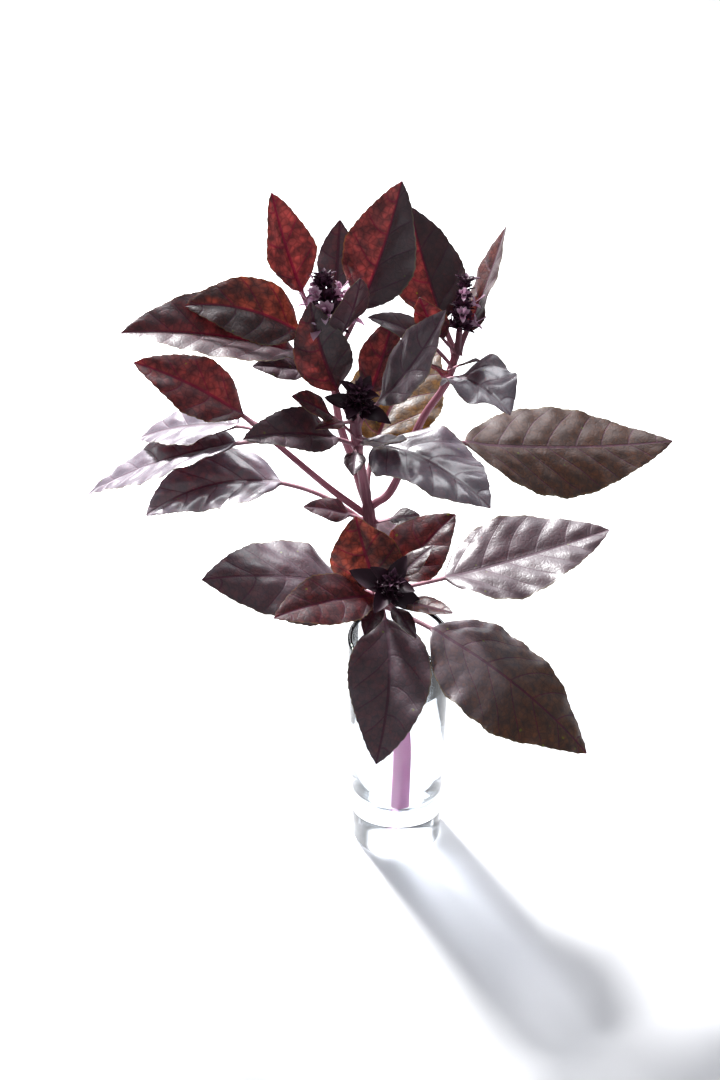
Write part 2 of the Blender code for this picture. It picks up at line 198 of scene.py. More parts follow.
LEAVES = (
    Leaf("low_left_leaf", "main_stem", 3.006, -163, 19, -20, 30, 0, 9, 60, 37, "grey", fold=-0.06),
    Leaf("low_front_leaf", "main_stem", 2.949, -94, -38, 0, 35, -40, 6, 56, 31, "grey"),
    Leaf(
        "low_right_front_leaf", "main_stem", 2.817, -27, -25, 8, 38, 0, 20, 76, 44,
        "brown", fold=-0.12, bloom=0.6,
    ),
    Leaf("low_right_back_leaf", "main_stem", 3.062, 13, 9, 12, -10, 0, 24, 66, 38, "dark"),
    Leaf("low_back_leaf", "main_stem", 3.229, 80, -12, 0, 30, 0, 10, 42, 26, "wine"),
    Leaf(
        "shoot_back_leaf", "front_shoot", 1.436, 146, 72, -60, -10, 0, 3, 30, 27,
        "orange", fold=0.32, wave=2.0,
    ),
    Leaf("shoot_left_leaf", "front_shoot", 2, -147, 13, -20, 25, 0, 3, 43, 22, "red"),
    Leaf("shoot_far_leaf", "front_shoot", 1.319, 29, 40, 20, 20, 0, 7, 33, 24, "red"),
    Leaf("shoot_right_leaf", "front_shoot", 2, -37, 14, 0, 0, 0, 7, 21, 10, "orange"),
    Leaf("shoot_upper_right_leaf", "front_shoot", 1.902, 33, 33, 0, 20, 0, 8, 16, 9, "red"),
    Leaf("shoot_low_right_leaf", "front_shoot", 1.747, -64, 0, 0, 20, 0, 4, 18, 7, "dark"),
    Leaf("shoot_low_left_leaf", "front_shoot", 1.864, -108, -2, 0, 20, 0, 3, 16, 8, "dark"),
    Leaf("node_left_leaf", "main_stem", 3.876, -172, 20, -20, 20, 0, 5, 18, 10, "wine"),
    Leaf("node_right_leaf", "main_stem", 3.858, -18, 23, 10, 10, 0, 6, 12, 8, "wine"),
    Leaf(
        "left_petiole_leaf", "main_stem", 3.812, -176, 5, -10, 60, 50, 34, 52, 30,
        "white", fold=0.3, wave=1,
    ),
    Leaf("left_far_leaf", "left_branch", 2.454, 164, -29, 0, 25, 0, 12, 72, 32, "white", wave=0.8),
    Leaf("left_back_leaf", "left_branch", 2.864, 148, -25, -10, 25, 0, 7, 52, 26, "white"),
    Leaf("left_red_leaf", "left_branch", 2.864, 175, 29, -30, 25, 0, 3, 44, 23, "red"),
    Leaf(
        "top_left_tall_leaf", "left_top_branch", 2.742, 134, 62, 0, -25, 0, 20, 36, 20,
        "red", fold=0.35, wave=1.6,
    ),
    Leaf("top_left_back_leaf", "left_top_branch", 2.816, 84, 48, 0, -20, 0, 18, 25, 14, "grey"),
    Leaf(
        "top_left_orange_leaf", "left_top_branch", 2.65, 184, 25, -30, 60, 0, 12, 43, 25,
        "orange", wave=0.5,
    ),
    Leaf(
        "top_left_dark_leaf", "left_top_branch", 2.613, -169, 17, -15, 30, 0, 12, 63, 32,
        "wine", fold=0.5, wave=0.4,
    ),
    Leaf("top_red_leaf", "left_top_branch", 2.65, 31, 67, 30, -20, 0, 18, 48, 27, "red", shaded_half=-1),
    Leaf("top_grey_leaf", "left_top_branch", 2.834, -52, 66, 0, -25, 0, 10, 27, 16, "dark"),
    Leaf("left_small_leaf", "left_top_branch", 2.484, -162, 20, -20, 20, 0, 9, 20, 12, "dark"),
    Leaf("right_tall_leaf", "right_branch", 3.939, 118, 51, 0, -18, 0, 10, 42, 27, "red", shaded_half=-1),
    Leaf("right_tall_front_leaf", "right_branch", 4.008, -165, 62, 60, -20, 0, 6, 20, 12, "red"),
    Leaf("right_far_leaf", "right_branch", 3.95, 53, 54, -40, -20, 0, 4, 39, 19, "orange", shaded_half=-0.9),
    Leaf("right_cross_leaf", "right_branch", 3.569, -172, 36, -20, 40, 0, 9, 27, 12, "dark"),
    Leaf(
        "right_curled_leaf", "right_branch", 3.242, -57, 7, 0, 50, 0, 3, 33, 26,
        "white", fold=0.4, wave=3.2,
    ),
    Leaf("right_big_leaf", "right_branch", 1.749, 16, -12, 20, -15, 0, 19, 85, 40, "brown", fold=-0.05),
    Leaf("right_small_left_leaf", "right_branch", 3.133, -120, 50, 0, 15, 0, 3, 12, 7, "red"),
    Leaf("right_small_right_leaf", "right_branch", 3.514, -52, 36, 0, 10, 0, 3, 12, 6, "red"),
    Leaf("centre_grey_leaf", "main_stem", 5.265, -2, 58, 20, -20, 0, 9, 44, 24, "grey"),
    Leaf("centre_back_leaf", "main_stem", 5.064, 56, 57, 0, -20, 0, 12, 28, 17, "red"),
    Leaf("centre_left_leaf", "main_stem", 5.158, 144, 68, -52, -25, 0, 11, 34, 20, "red", shaded_half=-0.6),
    Leaf("centre_dark_leaf", "main_stem", 4.818, -149, 22, -25, 30, 0, 6, 40, 18, "dark", fold=0.4),
    Leaf("centre_small_leaf", "main_stem", 4.957, -157, 43, -20, 20, 0, 9, 19, 12, "red"),
    Leaf("centre_bract_leaf", "main_stem", 5.398, -140, 14, 0, 10, 0, 3, 13, 7, "red"),
    Leaf(
        "centre_white_leaf", "main_stem", 4.848, -44, 3, 0, 50, 0, 8, 54, 34,
        "white", fold=0.12, wave=1.6,
    ),
    Leaf("centre_olive_leaf", "main_stem", 4.233, 62, 24, 10, 25, -35, 16, 48, 36, "olive"),
    Leaf("centre_pale_leaf", "main_stem", 4.969, -58, 30, 0, -20, 0, 4, 30, 12, "white"),
    Leaf("centre_low_leaf", "main_stem", 4.848, -95, -5, 0, 10, 0, 3, 12, 8, "grey"),
)

HEADS = (
    Head("front_flower_head", "front_shoot", 14, 6.0, 3, 0, 15),
    Head("centre_flower_head", "main_stem", 15, 5.5, 3, 0, 12),
    Head("left_flower_head", "left_top_branch", 24, 6.0, 4, 3, 7, 1.2),
    Head("right_flower_head", "right_branch", 20, 5.5, 5, 1, 5, 0.72),
)


# Courses of the stems


class Course(NamedTuple):
    """A stem's curve: its points, and which of them are its corners."""

    points: list
    corners: list


def smooth_course(corners, spacing):
    """A Catmull-Rom curve through the corners."""
    ends = [2 * corners[0] - corners[1], *corners, 2 * corners[-1] - corners[-2]]
    path, marks = [], []
    for a, b, c, d in zip(ends, ends[1:], ends[2:], ends[3:]):
        steps = max(1, round((c - b).length / spacing))
        marks.append(len(path))
        for i in range(steps):
            t = i / steps
            bend = (2 * a - 5 * b + 4 * c - d) * t**2 + (3 * b - a - 3 * c + d) * t**3
            path.append((2 * b + (c - a) * t + bend) / 2)
    return Course([*path, corners[-1]], [*marks, len(path)])


def index_of(course, station):
    corner = min(int(station), len(course.corners) - 2)
    before, after = course.corners[corner : corner + 2]
    return before + (station - corner) * (after - before)


def point_on(course, station):
    """The place and direction at a station."""
    index = index_of(course, station)
    run = min(int(index), len(course.points) - 2)
    a, b = course.points[run : run + 2]
    return a.lerp(b, index - run), (b - a).normalized()


def radius_at(course, radii, station):
    start, end = radii
    return start + (end - start) * index_of(course, station) / (len(course.points) - 1)


def main_stem_corners():
    foot = Vector((1, -5.4, 22.7))
    rim = Vector((-6.5, 0, GLASS_HEIGHT + 5))
    node = Vector((-8, 0, GLASS_HEIGHT + NODE_ABOVE_RIM))
    upper_node = node + Vector((-4, 0, LOWER_INTERNODE))
    inside = foot.lerp(rim, 0.5) + Vector((3.5, 0, 0))
    top = [upper_node + Vector(step) for step in ((-4.5, -5, 38), (-4, -10, 52))]
    return [foot, inside, rim, node, upper_node, *top]


def stem_courses():
    """Each stem's course, its radius at both ends, and where it is rooted in the stem that bears it."""
    courses = {"main_stem": smooth_course(main_stem_corners(), FINE_STEP)}
    radii = {"main_stem": (STEM_RADIUS, STEM_TAPER * STEM_RADIUS)}
    roots = {}
    for branch in BRANCHES:
        parent = courses[branch.parent]
        place, along = point_on(parent, branch.at)
        steps = [place + Vector(step) for step in branch.points]
        leaving = (steps[0] - place).normalized()
        parent_radius = radius_at(parent, radii[branch.parent], branch.at)
        reach = CLEARANCE + branch.start_radius * abs(leaving.dot(along))
        begin = start_of(place, along, leaving, parent_radius + reach)
        courses[branch.name] = smooth_course([begin, *steps], FINE_STEP)
        radii[branch.name] = (branch.start_radius, branch.end_radius)
        roots[branch.name] = place
    return courses, radii, roots


def start_of(place, along, direction, reach):
    """The place on a straight way out of a stem that is this far from its axis."""
    outward = direction - along * direction.dot(along)
    return place + direction * (reach / outward.length)


# Meshes


def smoothstep(low, high, x):
    t = np.clip((x - low) / (high - low), 0, 1)
    return t * t * (3 - 2 * t)


class Body:
    """A mesh in the making: points in millimetres, faces with a material each, and values on the points."""

    def __init__(self):
        self.points, self.faces, self.slots, self.values = [], [], [], {}
        self.count = 0

    def add(self, points, faces, slot, values=None):
        points = np.asarray(points, float).reshape(-1, 3)
        self.points.append(points)
        self.faces += [tuple(i + self.count for i in face) for face in faces]
        self.slots += [slot] * len(faces) if isinstance(slot, int) else list(slot)
        for name, value in (values or {}).items():
            self.values.setdefault(name, {})[self.count] = np.asarray(value, float)
        self.count += len(points)

    def make(self, name, materials, sharp=60):
        mesh = bpy.data.meshes.new(name)
        mesh.from_pydata(np.concatenate(self.points) * MM, [], self.faces)
        for material in materials:
            mesh.materials.append(material)
        mesh.polygons.foreach_set("material_index", self.slots)
        for key, parts in self.values.items():
            width = max(v.shape[1] if v.ndim > 1 else 1 for v in parts.values())
            whole = np.zeros((self.count, width), np.float32)
            for start, value in parts.items():
                whole[start : start + len(value)] = value.reshape(len(value), -1)
            kind = "FLOAT" if width == 1 else "FLOAT_VECTOR"
            attribute = mesh.attributes.new(key, kind, "POINT")
            attribute.data.foreach_set("value" if width == 1 else "vector", whole.ravel())
        mesh.shade_smooth()
        mesh.set_sharp_from_angle(angle=radians(sharp))
        made = bpy.data.objects.new(name, mesh)
        bpy.context.scene.collection.objects.link(made)
        return made


def grid_faces(rows, columns, closed=False, start=0, flip=False):
    """Quads over a grid of points, row by row, whose rows are rings if it is closed."""
    faces = []
    for r in range(rows - 1):
        for c in range(columns if closed else columns - 1):
            d = (c + 1) % columns
            low, high = start + r * columns, start + (r + 1) * columns
            face = (low + c, low + d, high + d, high + c)
            faces.append(face[::-1] if flip else face)
    return faces


def fan_faces(sides, first, low, last, high):
    """Triangles from two middle points, low and high, to the rings that start at first and last."""
    faces = []
    for c in range(sides):
        d = (c + 1) % sides
        faces += [(low, first + d, first + c), (high, last + c, last + d)]
    return faces


def sheet(upper, lower):
    """Points and faces of a thin closed body between two grids of points."""
    rows, columns = upper.shape[:2]
    size = rows * columns
    faces = grid_faces(rows, columns, flip=True)
    faces += grid_faces(rows, columns, start=size)
    rim = [*range(columns)]
    rim += [r * columns + columns - 1 for r in range(1, rows)]
    rim += [(rows - 1) * columns + c for c in range(columns - 2, -1, -1)]
    rim += [r * columns for r in range(rows - 2, 0, -1)]
    for a, b in zip(rim, [*rim[1:], rim[0]]):
        faces.append((a, b, b + size, a + size))
    return np.concatenate([upper.reshape(-1, 3), lower.reshape(-1, 3)]), faces


def ring_frame(points):
    """For each point of a path, its direction and two directions square to it, without twist."""
    points = np.asarray(points, float)
    along = np.gradient(points, axis=0)
    along /= np.linalg.norm(along, axis=1)[:, None]
    side = np.cross((0, 1, 0), along[0])
    sides = []
    for forward in along:
        side = side - forward * (side @ forward)
        side /= np.linalg.norm(side)
        sides.append(side)
    sides = np.array(sides)
    return along, sides, np.cross(along, sides)


def tube(body, points, radii, slot=0, sides=STEM_SIDES, square=0.0):
    """A tube along a path, whose section is a rounded square where square is above 0."""
    points = np.asarray(points, float)
    radii = np.broadcast_to(radii, len(points))
    along, u, v = ring_frame(points)
    turn = 2 * pi * np.arange(sides) / sides
    reach = 1 + square * (np.abs(np.cos(2 * turn)) ** 1.5 - 0.6)
    ring = u[:, None] * np.cos(turn)[None, :, None] + v[:, None] * np.sin(turn)[None, :, None]
    skin = points[:, None] + ring * (radii[:, None] * reach)[:, :, None]
    count = len(points) * sides
    faces = grid_faces(len(points), sides, closed=True)
    faces += fan_faces(sides, 0, count, count - sides, count + 1)
    skin = np.concatenate([skin.reshape(-1, 3), points[:1], points[-1:]])
    run = np.concatenate([[0], np.cumsum(np.linalg.norm(np.diff(points, axis=0), axis=1))])
    place = np.stack(
        [
            np.tile(np.cos(turn), len(points)) * 3,
            np.repeat(run, sides),
            np.tile(np.sin(turn), len(points)) * 3,
        ],
        -1,
    )
    place = np.concatenate([place, [[0, 0, 0], [0, run[-1], 0]]])
    body.add(skin, faces, slot, {"stem_place": place})


# Leaf blades


def blade_outline(share):
    return np.sin(pi * np.clip(share, 0, 1) ** 0.75) ** 0.85


def midrib(leaf, start, root, count):
    """Points and directions along a leaf, and how far they lie from its start, with a root into the stem."""
    total = leaf.petiole + leaf.length
    share = np.linspace(0, 1, count)
    pitch = np.radians(leaf.rise + leaf.droop * (0.5 - share))
    heading = np.radians(leaf.heading + leaf.sweep * (share - 0.5))
    forward = np.stack([np.cos(pitch) * np.cos(heading), np.cos(pitch) * np.sin(heading), np.sin(pitch)], -1)
    middle = (forward[1:] + forward[:-1]) / 2 * total / (count - 1)
    points = np.array(start) + np.concatenate([[[0, 0, 0]], np.cumsum(middle, axis=0)])
    back = np.arange(-root, -0.1, ROW_STEP)
    points = np.concatenate([points[0] + back[:, None] * forward[0], points])
    forward = np.concatenate([np.repeat(forward[:1], len(back), axis=0), forward])
    return points, forward, np.concatenate([back, share * total])


def turned_sides(forward, roll):
    """The direction to a blade's left and its upper normal, rolled about the midrib."""
    side = np.cross((0, 0, 1), forward)
    side /= np.linalg.norm(side, axis=1)[:, None]
    normal = np.cross(forward, side)
    c, s = np.cos(roll)[:, None], np.sin(roll)[:, None]
    return side * c + normal * s, normal * c - side * s


def leaf_body(leaf, start, root, random):
    """A leaf's petiole and blade as one closed thin body, with the values that its material reads."""
    total = leaf.petiole + leaf.length
    rows = max(22, ceil(total / ROW_STEP))
    points, forward, run = midrib(leaf, start, root, rows)
    rows = len(points)
    y = run - leaf.petiole
    share = np.clip(y / leaf.length, 0, 1)
    blade = smoothstep(0, 0.12, y / leaf.length)
    merged = np.clip(4 * y / leaf.length, 0, 1)
    side, normal = turned_sides(forward, np.radians(leaf.roll) * merged)

    small = min(1.0, leaf.length / 40)
    width = leaf.width / 2 * blade_outline(share)
    tooth = (y / TOOTH_PITCH) % 1
    teeth = TOOTH_HEIGHT * small * tooth * np.where(share > 0.12, 1, 0) * np.where(share < 0.97, 1, 0)
    petiole_half = PETIOLE_WIDTH / 2 * (0.75 + 0.35 * np.exp(-run / 3) + 0.1 * small)
    narrow = np.where(share < 0.5, petiole_half, 0.25)
    half = np.maximum(narrow, width)[:, None]

    k = np.linspace(-1, 1, 2 * HALF_COLUMNS + 1)[None, :]
    k = np.sign(k) * np.abs(k) ** 0.9
    far = np.abs(k)
    x = half * far
    margin = smoothstep(0.9, 1.0, far)
    lateral = np.sign(k) * (x + teeth[:, None] * margin)

    look = LOOKS[leaf.look]
    veins = max(3, round(leaf.length / VEIN_SPACING))
    gap = leaf.length / veins
    seed = random.uniform(0, 100)
    waver = 0.5 * np.sin(y[:, None] * 0.21 + seed) + 0.4 * np.sin(lateral * 0.37 + seed * 2)
    shifted = y[:, None] - 0.62 * x - 0.022 * x**2 + waver
    phase = np.sign(shifted) * leaf.length / gap * np.abs(shifted / leaf.length) ** 0.9
    phase = phase + 0.2 * np.tanh(k * 3) + 0.5
    ridge = np.abs(np.sin(pi * phase))
    pucker = 1 + 0.3 * np.sin(x * 0.6 + np.floor(phase) * 2.1 + seed) + 0.15 * np.sin(y[:, None] * 0.4 + seed)
    swell = (0.05 + 0.035 * look.pale) * gap * ridge * pucker * smoothstep(0.3, 4.0, x) * (1 - 0.6 * far**4)
    groove = 0.45 * small * np.exp(-((x / 0.9) ** 2)) * (1 - share[:, None])
    wave = leaf.wave * random.uniform(0.05, 0.09) * half * far**2
    wave = wave * np.sin(y[:, None] / leaf.length * random.uniform(9, 13) + np.sign(k) * 1.3 + seed)
    flutter = 0.03 * half * far**3 * np.sin(y[:, None] * 0.55 + seed * 3 + np.sign(k))
    lift = half * (leaf.fold * far - MARGIN_CURL * far**2) + swell + wave + flutter - groove
    flat = blade[:, None]
    round_edge = np.sqrt(np.clip(1 - far**2, 0, 1))
    thick = PETIOLE_THICKNESS * small**0.5
    shape = (1 - flat) * round_edge * thick / 2 + flat * BLADE_THICKNESS * (0.5 - 0.18 * far)
    lift = lift * flat
    keel = 0.75 * small * np.exp(-((x / 0.8) ** 2)) * (1.05 - share[:, None]) * flat
    near_vein = np.abs((phase + 0.5) % 1 - 0.5) * gap * 0.8
    keel = keel + 0.16 * small * np.exp(-((near_vein / 0.45) ** 2)) * smoothstep(1, 0.7, far) * flat

    across = points[:, None] + side[:, None] * lateral[:, :, None]
    upper = across + normal[:, None] * (lift + shape)[:, :, None]
    lower = across + normal[:, None] * (lift - shape - keel)[:, :, None]
    skin, faces = sheet(upper, lower)
    cells = (rows - 1) * 2 * HALF_COLUMNS
    slots = [0] * cells + [1] * (len(faces) - cells)
    place = np.stack([lateral, np.broadcast_to(y[:, None], lateral.shape), np.full(lateral.shape, seed)], -1)
    spread = np.broadcast_to(share[:, None] + np.minimum(y[:, None], 0), lateral.shape)
    rib = np.stack([phase * np.ones_like(lateral), np.broadcast_to(far, lateral.shape), spread], -1)
    # Painted sheen: how pale the blade is painted, from its look and, near the petiole, from the leaf's bloom
    # share.
    bloom = look.pale + leaf.bloom * smoothstep(0.65, 0.2, y / leaf.length)
    same = np.ones_like(lateral)
    tint = np.stack([look.red * same, look.olive * same, bloom[:, None] * same], -1)
    count = 2 * lateral.size
    values = {
        "leaf_place": np.tile(place.reshape(-1, 3), (2, 1)),
        "leaf_rib": np.tile(rib.reshape(-1, 3), (2, 1)),
        "leaf_look": np.tile(tint.reshape(-1, 3), (2, 1)),
        "leaf_size": np.tile([gap, leaf.length, leaf.shaded_half], (count, 1)),
    }
    body = Body()
    body.add(skin, faces, slots, values)
    return body


# Shaders


class Wire:
    """A shader socket on which Python's arithmetic adds Math nodes."""

    def __init__(self, tree, socket):
        self.tree, self.socket = tree, socket

    def math(self, operation, *values):
        return self.tree.add("ShaderNodeMath", {"operation": operation}, dict(enumerate(values)))

    def __add__(self, other):
        return self.math("ADD", self, other)

    def __sub__(self, other):
        return self.math("SUBTRACT", self, other)

    def __rsub__(self, other):
        return self.math("SUBTRACT", other, self)

    def __mul__(self, other):
        return self.math("MULTIPLY", self, other)

    def __abs__(self):
        return self.math("ABSOLUTE", self)

    __radd__, __rmul__ = __add__, __mul__

    def fraction(self):
        return self.math("FRACT", self)

    def most(self, other):
        return self.math("MAXIMUM", self, other)

    def least(self, other):
        return self.math("MINIMUM", self, other)

    def between(self, low, high):
        """0 up to low and 1 from high, with a smooth step between; high may be below low."""
        settings = {"interpolation_type": "SMOOTHSTEP"}
        if isinstance(low, (int, float)) and isinstance(high, (int, float)) and high < low:
            return 1 - self.between(high, low)
        values = {"Value": self, "From Min": low, "From Max": high}
        return self.tree.add("ShaderNodeMapRange", settings, values)


class Tree:
    """The nodes of a new material, or of a world."""

    def __init__(self, name, world=False):
        self.output = "ShaderNodeOutputWorld" if world else "ShaderNodeOutputMaterial"
        self.owner = (bpy.data.worlds if world else bpy.data.materials).new(name)
        self.owner.use_nodes = True
        self.nodes, self.links = self.owner.node_tree.nodes, self.owner.node_tree.links
        self.nodes.clear()

    def add(self, kind, settings, values, output=0):
        """A node with these settings and socket values or links, and the wire of one output."""
        node = self.nodes.new(kind)
        for key, value in settings.items():
            setattr(node, key, value)
        live = [socket for socket in node.inputs if socket.enabled]
        for key, value in values.items():
            if isinstance(key, int):
                socket = live[key]
            else:
                socket = next(s for s in live if key == s.name)
            if isinstance(value, Wire):
                self.links.new(value.socket, socket)
            else:
                socket.default_value = value
        outputs = [socket for socket in node.outputs if socket.enabled]
        if isinstance(output, str):
            return Wire(self, next(s for s in outputs if s.name == output))
        return Wire(self, outputs[output])

    def attribute(self, name, output="Vector"):
        return self.add("ShaderNodeAttribute", {"attribute_name": name}, {}, output)

    def parts(self, vector):
        return [self.add("ShaderNodeSeparateXYZ", {}, {0: vector}, i) for i in range(3)]

    def mix(self, factor, a, b):
        """Two colours mixed."""
        values = {"Factor": factor, "A": full(a), "B": full(b)}
        return self.add("ShaderNodeMix", {"data_type": "RGBA"}, values)

    def tinted(self, colour, amount):
        """A colour made darker or lighter by a number."""
        grey = self.add("ShaderNodeCombineColor", {}, {0: amount, 1: amount, 2: amount})
        settings = {"data_type": "RGBA", "blend_type": "MULTIPLY"}
        return self.add("ShaderNodeMix", settings, {"Factor": 1.0, "A": full(colour), "B": grey})

    def noise(self, place, scale, detail=2.0):
        values = {"Vector": place, "Scale": scale, "Detail": detail}
        return self.add("ShaderNodeTexNoise", {}, values)

    def cells(self, place, scale, feature="F1"):
        values = {"Vector": place, "Scale": scale}
        return self.add("ShaderNodeTexVoronoi", {"feature": feature}, values, "Distance")

    def bump(self, height, strength, distance):
        values = {"Strength": strength, "Distance": distance, "Height": height}
        return self.add("ShaderNodeBump", {}, values)

    def surface(self, values):
        return self.add("ShaderNodeBsdfPrincipled", {}, values)

    def blend(self, factor, a, b):
        return self.add("ShaderNodeMixShader", {}, {0: factor, 1: a, 2: b})

    def finish(self, shader):
        node = self.nodes.new(self.output)
        self.links.new(shader.socket, node.inputs["Surface"])
        return self.owner

    def towards(self, place, direction):
        """How nearly a vector points in a direction."""
        values = {0: place, 1: direction}
        return self.add("ShaderNodeVectorMath", {"operation": "DOT_PRODUCT"}, values, "Value")


def full(colour):
    return colour if isinstance(colour, Wire) else (*colour[:3], 1.0)


def leaf_side(name, looks, upper):
    """The material of a leaf's upper or under side: quilted, veined, lit through from behind, with painted
    sheen and painted shade.
    """
    tree = Tree(name)
    place = tree.attribute("leaf_place")
    x, y, _ = tree.parts(place)
    phase, far, share = tree.parts(tree.attribute("leaf_rib"))
    red, olive, pale = tree.parts(tree.attribute("leaf_look"))
    gap, _, shaded_half = tree.parts(tree.attribute("leaf_size"))

    # Painted shade: on a leaf with a shaded half, that half lets far less light through, for the shade it
    # lies in.
    painted_shade = (x * shaded_half).between(-0.6, 0.6) * abs(shaded_half)
    x = abs(x)
    rib_half = 0.2 + (1 - share) * 0.38
    rib = 1 - (x - rib_half).between(0.0, 0.35)
    from_vein = abs((phase + 0.5).fraction() - 0.5) * gap * 0.8
    vein = (1 - from_vein.between(0.08, 0.5)) * (1 - far.between(0.75, 1.05)) * 0.75
    petiole = 1 - y.between(-1.5, 1.0)
    ribs = rib.most(vein).most(petiole)
    net = 1 - tree.cells(place, 0.42, "DISTANCE_TO_EDGE").between(0.0, 0.16)
    fine = tree.cells(place, 1.3)
    cloud = tree.noise(place, 0.11, 3.0)
    grain = tree.noise(place, 0.9, 3.0)
    edge = far.between(0.955, 1.0) * (1 - petiole)
    speck = 1 - tree.cells(place, 0.12).between(0.04, 0.075)

    base = tree.mix(cloud, looks.leaf_dark if upper else looks.leaf_under, looks.leaf_light)
    base = tree.mix(olive * (0.6 + cloud * 0.6), base, looks.leaf_olive)
    # Painted sheen: pale leaves, and some blades near the petiole, are painted pale for their sheen.
    base = tree.mix(pale * 0.65, base, looks.leaf_bloom)
    base = tree.mix(ribs * 0.8, base, looks.vein)
    base = tree.mix(petiole * 0.85, base, looks.stem_light)
    base = tree.mix(speck * 0.5, base, looks.fleck)
    base = tree.mix(edge * 0.6, base, looks.leaf_edge)

    through = tree.mix(olive, looks.glow_red, looks.glow_olive)
    mottle = tree.noise(place, 0.32, 4.0).between(0.3, 0.7)
    through = tree.tinted(through, (0.32 + cloud * 0.4 + mottle * 0.65) * (1 - net * 0.35))
    through = tree.mix(ribs * 0.8, through, looks.glow_vein)
    through = tree.mix(speck * 0.9, through, looks.glow_fleck)
    through = tree.mix(edge * 0.5, through, looks.glow_olive)

    pucker = tree.noise(place, 0.2, 0.0)
    height = pucker * 4.0 - fine * 0.3 + grain * 0.6 - net * 0.3 - vein.most(rib) * (0.8 if upper else -1.2)
    normal = tree.bump(height, 0.45, 0.00022)
    values = {
        "Base Color": base,
        "Roughness": 0.38 + grain * 0.14 + ribs * 0.3,
        "Normal": normal,
        "Specular IOR Level": 0.95 if upper else 0.55,
    }
    if upper:
        sheen = (pale * 1.3).least(1.0) * (1 - ribs * 0.6)
        values |= {"Coat Weight": sheen, "Coat Roughness": 0.24, "Coat IOR": 2.1}
    skin = tree.surface(values)
    glow = tree.add("ShaderNodeBsdfTranslucent", {}, {"Color": through, "Normal": normal})
    return tree.finish(tree.blend((0.07 + red * 0.45) * (1 - petiole * 0.5) * (1 - painted_shade * 0.8), skin, glow))


def stem_skin(name, looks, wet):
    """The material of a stem, paler and pinker along the length that stands in water."""
    tree = Tree(name)
    place = tree.attribute("stem_place")
    x, y, z = tree.parts(place)
    long = tree.add("ShaderNodeCombineXYZ", {}, {0: x, 1: y * 0.06, 2: z})
    streak = tree.noise(long, 1.6, 3.0)
    cloud = tree.noise(place, 0.05, 2.0)
    colour = tree.mix(streak.between(0.35, 0.7), looks.stem_dark, looks.stem_light)
    colour = tree.mix(cloud.between(0.4, 0.75) * 0.5, colour, looks.vein)
    if wet:
        colour = tree.mix(y.between(wet + 3, wet - 9) * 0.85, colour, looks.stem_wet)
    normal = tree.bump(streak + tree.noise(place, 1.1, 2.0) * 0.3, 0.35, 0.0002)
    skin = tree.surface({"Base Color": colour, "Roughness": 0.38 + cloud * 0.2, "Normal": normal})
    glow = tree.add("ShaderNodeBsdfTranslucent", {}, {"Color": full(looks.stem_light)})
    return tree.finish(tree.blend(0.3, skin, glow))


def petal_skin(name, light, dark, share, rough=0.5):
    """A thin flower part's material, darker towards its base and in blotches."""
    tree = Tree(name)
    place = tree.attribute("petal_place")
    _, y, _ = tree.parts(place)
    blotch = tree.noise(place, 0.5, 3.0)
    colour = tree.mix((y * 0.7 + blotch * 0.6).between(0.15, 0.9), dark, light)
    normal = tree.bump(blotch, 0.3, 0.0003)
    skin = tree.surface({"Base Color": colour, "Roughness": rough + blotch * 0.15, "Normal": normal})
    glow = tree.add("ShaderNodeBsdfTranslucent", {}, {"Color": colour})
    return tree.finish(tree.blend(share, skin, glow))


def clear_body(name, colour, ior, tint):
    """Clear glass or water, which lets a lamp's light through and dims it at grazing angles."""
    tree = Tree(name)
    glass = tree.surface(
        {
            "Base Color": full(colour),
            "Roughness": 0.0,
            "IOR": ior,
            "Transmission Weight": 1.0,
        }
    )
    facing = tree.add("ShaderNodeLayerWeight", {}, {"Blend": 0.35}, "Facing")
    dimmed = tree.mix(facing.between(0.1, 0.5), tint, tuple(0.15 * c for c in tint))
    passing = tree.add("ShaderNodeBsdfTransparent", {}, {"Color": dimmed})
    shadow = tree.add("ShaderNodeLightPath", {}, {}, "Is Shadow Ray")
    return tree.finish(tree.blend(shadow, glass, passing))


# Settings


class BasilGlass(bpy.types.PropertyGroup):
    foot_radius: FloatProperty(
        name="Foot Radius", description="Outer radius at the foot", default=0.0185, unit="LENGTH"
    )
    rim_radius: FloatProperty(
        name="Rim Radius", description="Outer radius at the rim", default=0.02, unit="LENGTH"
    )
    height: FloatProperty(name="Height", description="Height of the glass", default=0.106, unit="LENGTH")
    wall: FloatProperty(name="Wall", description="Thickness of the wall", default=0.0022, unit="LENGTH")
    base: FloatProperty(name="Base", description="Thickness of the base", default=0.022, unit="LENGTH")
    corner: FloatProperty(
        name="Well Corner", description="Radius of the well's lower corner", default=0.008, unit="LENGTH"
    )
    bevel: FloatProperty(name="Bevel", description="Radius of the foot's edge", default=0.0012, unit="LENGTH")
    water: FloatProperty(name="Water Depth", description="Depth of the water", default=0.062, unit="LENGTH")
    sides: IntProperty(name="Sides", description="Sides of the turned surfaces", default=128, min=16)
    glass_colour: FloatVectorProperty(
        name="Glass", description="Colour of the glass", default=(0.91, 0.945, 0.97), subtype="COLOR"
    )
    water_colour: FloatVectorProperty(
        name="Water", description="Colour of the water", default=(0.985, 0.99, 0.995), subtype="COLOR"
    )


def colour_of(name, description, default):
    return FloatVectorProperty(
        name=name, description=description, default=default, subtype="COLOR", min=0, max=1
    )


